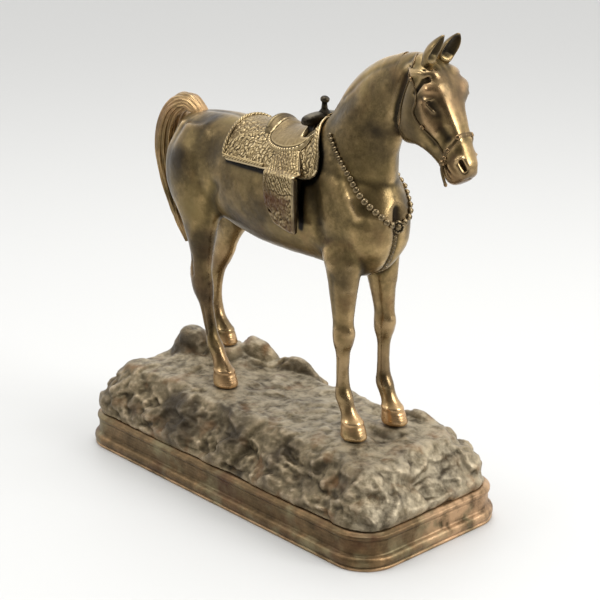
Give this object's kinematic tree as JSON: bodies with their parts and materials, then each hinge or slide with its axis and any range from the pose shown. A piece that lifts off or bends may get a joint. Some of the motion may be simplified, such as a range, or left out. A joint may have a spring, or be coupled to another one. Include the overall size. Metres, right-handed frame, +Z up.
{
  "type": "horse statuette",
  "caption": "Bronze-finished statuette of a standing horse in western tack on a rocky mound with a moulded plinth; the saddle is a separate casting that lifts off.",
  "frame": {"origin": "middle of the plinth's underside", "axes": "+X the way the horse faces, +Y its left side, +Z up"},
  "size_m": [0.3067, 0.131, 0.3144],
  "materials": {
    "horse_bronze": "dark patina rubbed back to bronze and copper on the high points",
    "tack_bronze": "worn bronze",
    "saddle_bronze": "tooled and worn bronze, dark in the recesses",
    "rock_bronze": "rough cast with dull patina",
    "plinth_bronze": "worn copper brown with dark patina",
    "felt": "felt",
    "steel": "plain"
  },
  "bodies": {
    "statue": {"plinth_moulding": "plinth_bronze", "rock_mound": "rock_bronze", "felt_pad": "felt", "stud_foreleg_right": "steel", "washer_foreleg_right": "steel", "stud_foreleg_left": "steel", "washer_foreleg_left": "steel", "stud_hindleg_right": "steel", "washer_hindleg_right": "steel", "stud_hindleg_left": "steel", "washer_hindleg_left": "steel", "body_casting": "horse_bronze", "neck_casting": "horse_bronze", "head_casting": "horse_bronze", "ear_left": "horse_bronze", "ear_right": "horse_bronze", "foreleg_right": "horse_bronze", "foreleg_left": "horse_bronze", "hindleg_right": "horse_bronze", "hindleg_left": "horse_bronze", "tail_casting": "horse_bronze", "bit_shank_left": "tack_bronze", "bit_shank_right": "tack_bronze", "breast_collar_left": "tack_bronze", "breast_collar_right": "tack_bronze", "breast_drop_strap": "tack_bronze", "chest_concho": "tack_bronze"},
    "saddle": {"saddle_skirts": "saddle_bronze", "saddle_seat": "saddle_bronze", "saddle_cantle": "saddle_bronze", "saddle_fork": "saddle_bronze", "saddle_horn": "saddle_bronze", "fender_left": "saddle_bronze", "fender_right": "saddle_bronze", "stirrup_left": "saddle_bronze", "stirrup_right": "saddle_bronze"}
  },
  "joints": [
    {"name": "saddle_lift", "type": "slide", "parent": "statue", "child": "saddle", "axis": [0, 0, 1], "range_m": [0, 0.09]}
  ]
}
